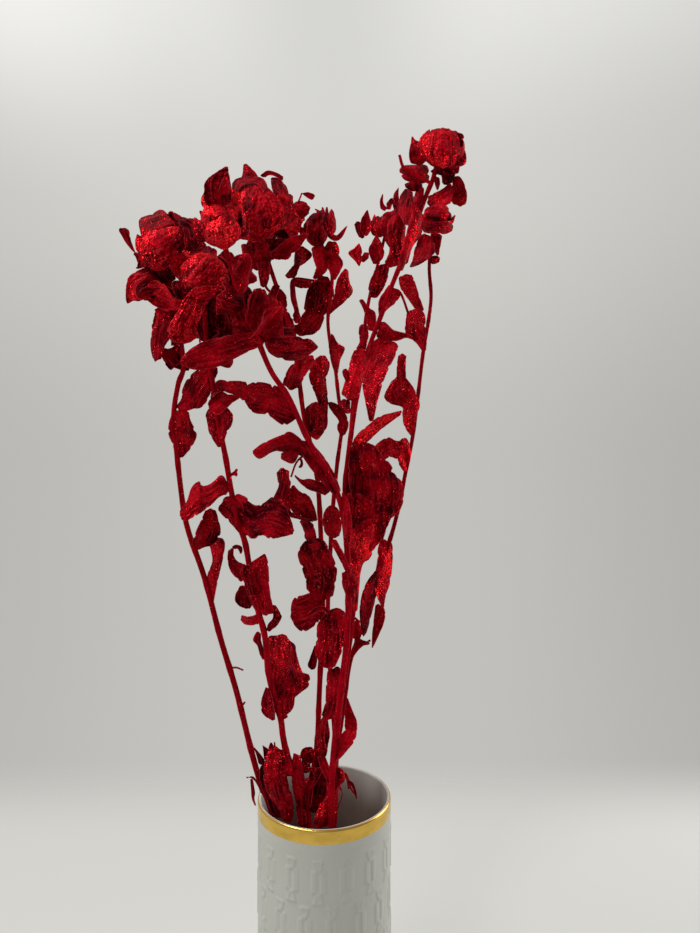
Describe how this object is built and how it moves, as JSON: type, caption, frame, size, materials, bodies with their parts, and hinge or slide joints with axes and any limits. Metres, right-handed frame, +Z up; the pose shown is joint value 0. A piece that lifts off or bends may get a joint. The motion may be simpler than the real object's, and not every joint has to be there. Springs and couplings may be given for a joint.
{
  "type": "dried safflower in vase",
  "caption": "Bunch of dried, crimson-dyed safflower stems with leaves and glittered heads in a slim white vase with a gilded rim.",
  "frame": {"origin": "centre of the vase's flat foot", "axes": "+Z up along the vase, -Y to the front, +X to the right as seen from the front"},
  "size_m": [0.1887, 0.1465, 0.573],
  "materials": {
    "porcelain": "matte bisque with a gilded rim",
    "dried_leaf": "dry, dyed crimson, with red glitter",
    "dried_head": "dry bracts, dyed crimson, with red glitter"
  },
  "bodies": {
    "root": {"head_centre_left": "dried_head", "head_far_left": "dried_head", "head_ridged": "dried_head", "head_right": "dried_head", "head_side_branch": "dried_head", "head_small": "dried_head", "head_top_right": "dried_head", "head_upper_left": "dried_head", "stem_far_left": "dried_leaf", "stem_far_right": "dried_leaf", "stem_front": "dried_leaf", "stem_inner_right": "dried_leaf", "stem_left": "dried_leaf", "stem_middle": "dried_leaf", "stem_right": "dried_leaf", "vase": "porcelain"}
  },
  "joints": []
}
